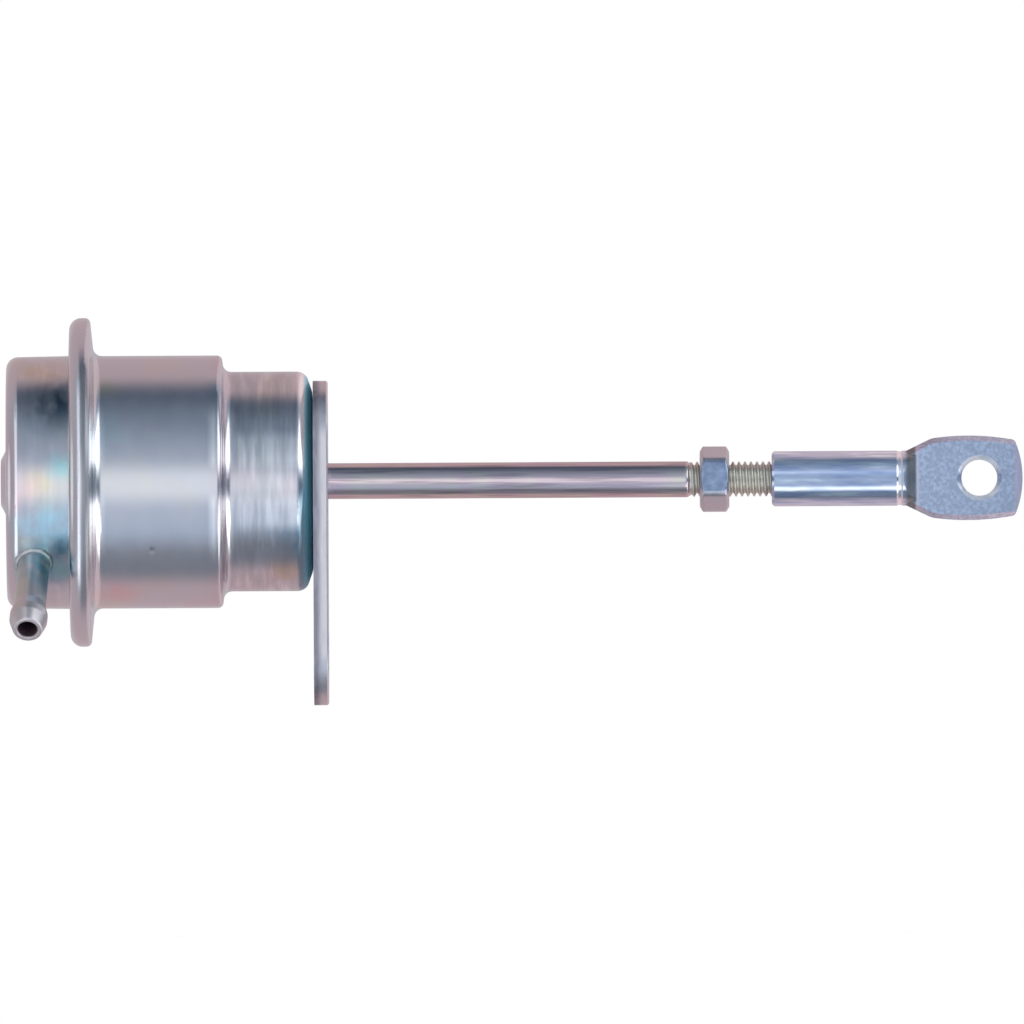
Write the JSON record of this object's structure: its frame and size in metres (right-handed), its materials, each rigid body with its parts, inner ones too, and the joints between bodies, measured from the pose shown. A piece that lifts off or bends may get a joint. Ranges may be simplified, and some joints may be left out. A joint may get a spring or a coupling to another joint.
{
  "type": "wastegate actuator",
  "caption": "Crimped diaphragm canister on a flat bolt-on bracket, pushing a threaded rod with a lock nut and a flat eye end.",
  "frame": {"origin": "middle of the two bolt holes, on the bracket's mounting face", "axes": "+X along the rod from the canister towards the eye; +Z from the bolt holes up to the canister's axis; the hose nipple points towards -Y and -Z"},
  "size_m": [0.1703, 0.0581, 0.0647],
  "materials": {
    "zinc_drawn_steel": "bright zinc plate, passivated, on deep-drawn steel",
    "zinc_turned_steel": "bright zinc plate on turned steel",
    "zinc_blanked_steel": "zinc plate on blanked plate, sheared edges",
    "zinc_rod_steel": "zinc plate on drawn bar with a rolled thread",
    "zinc_nut_steel": "blue-passivated zinc plate",
    "zinc_forged_steel": "blue-passivated zinc plate on forged steel",
    "inner_pressed_steel": "pressed sheet",
    "spring_steel": "phosphated spring wire",
    "sintered_bronze": "sintered, oil-filled",
    "nitrile_rubber": "fabric-backed rubber"
  },
  "bodies": {
    "canister": {"front_housing": "zinc_drawn_steel", "rear_cover": "zinc_drawn_steel", "hose_nipple": "zinc_turned_steel", "bracket": "zinc_blanked_steel", "diaphragm": "nitrile_rubber", "guide_cup": "inner_pressed_steel", "spring_seat": "inner_pressed_steel", "return_spring": "spring_steel"},
    "guide": {"guide_bush": "sintered_bronze"},
    "rod": {"rod": "zinc_rod_steel", "piston": "inner_pressed_steel", "clamp_plate": "inner_pressed_steel", "rivet_washer": "inner_pressed_steel"},
    "jam_nut": {"jam_nut": "zinc_nut_steel"},
    "rod_end": {"rod_end": "zinc_forged_steel"}
  },
  "joints": [
    {"name": "rod_tilt", "type": "hinge", "parent": "canister", "child": "guide", "pos_m": [-0.0074, 0, 0.0285], "axis": [0, 1, 0], "range_deg": [-2.5, 2.5], "stiffness_Nm_per_rad": 5},
    {"name": "rod_travel", "type": "slide", "parent": "guide", "child": "rod", "axis": [1, 0, 0], "range_m": [0, 0.01], "stiffness_N_per_m": 5500, "springref_m": -0.01, "deforming": ["return_spring", "diaphragm"]},
    {"name": "jam_nut_turn", "type": "hinge", "parent": "rod", "child": "jam_nut", "pos_m": [0.06445, 0, 0.0285], "axis": [1, 0, 0], "continuous": true},
    {"name": "rod_end_turn", "type": "hinge", "parent": "rod", "child": "rod_end", "pos_m": [0.081, 0, 0.0285], "axis": [1, 0, 0], "continuous": true}
  ]
}
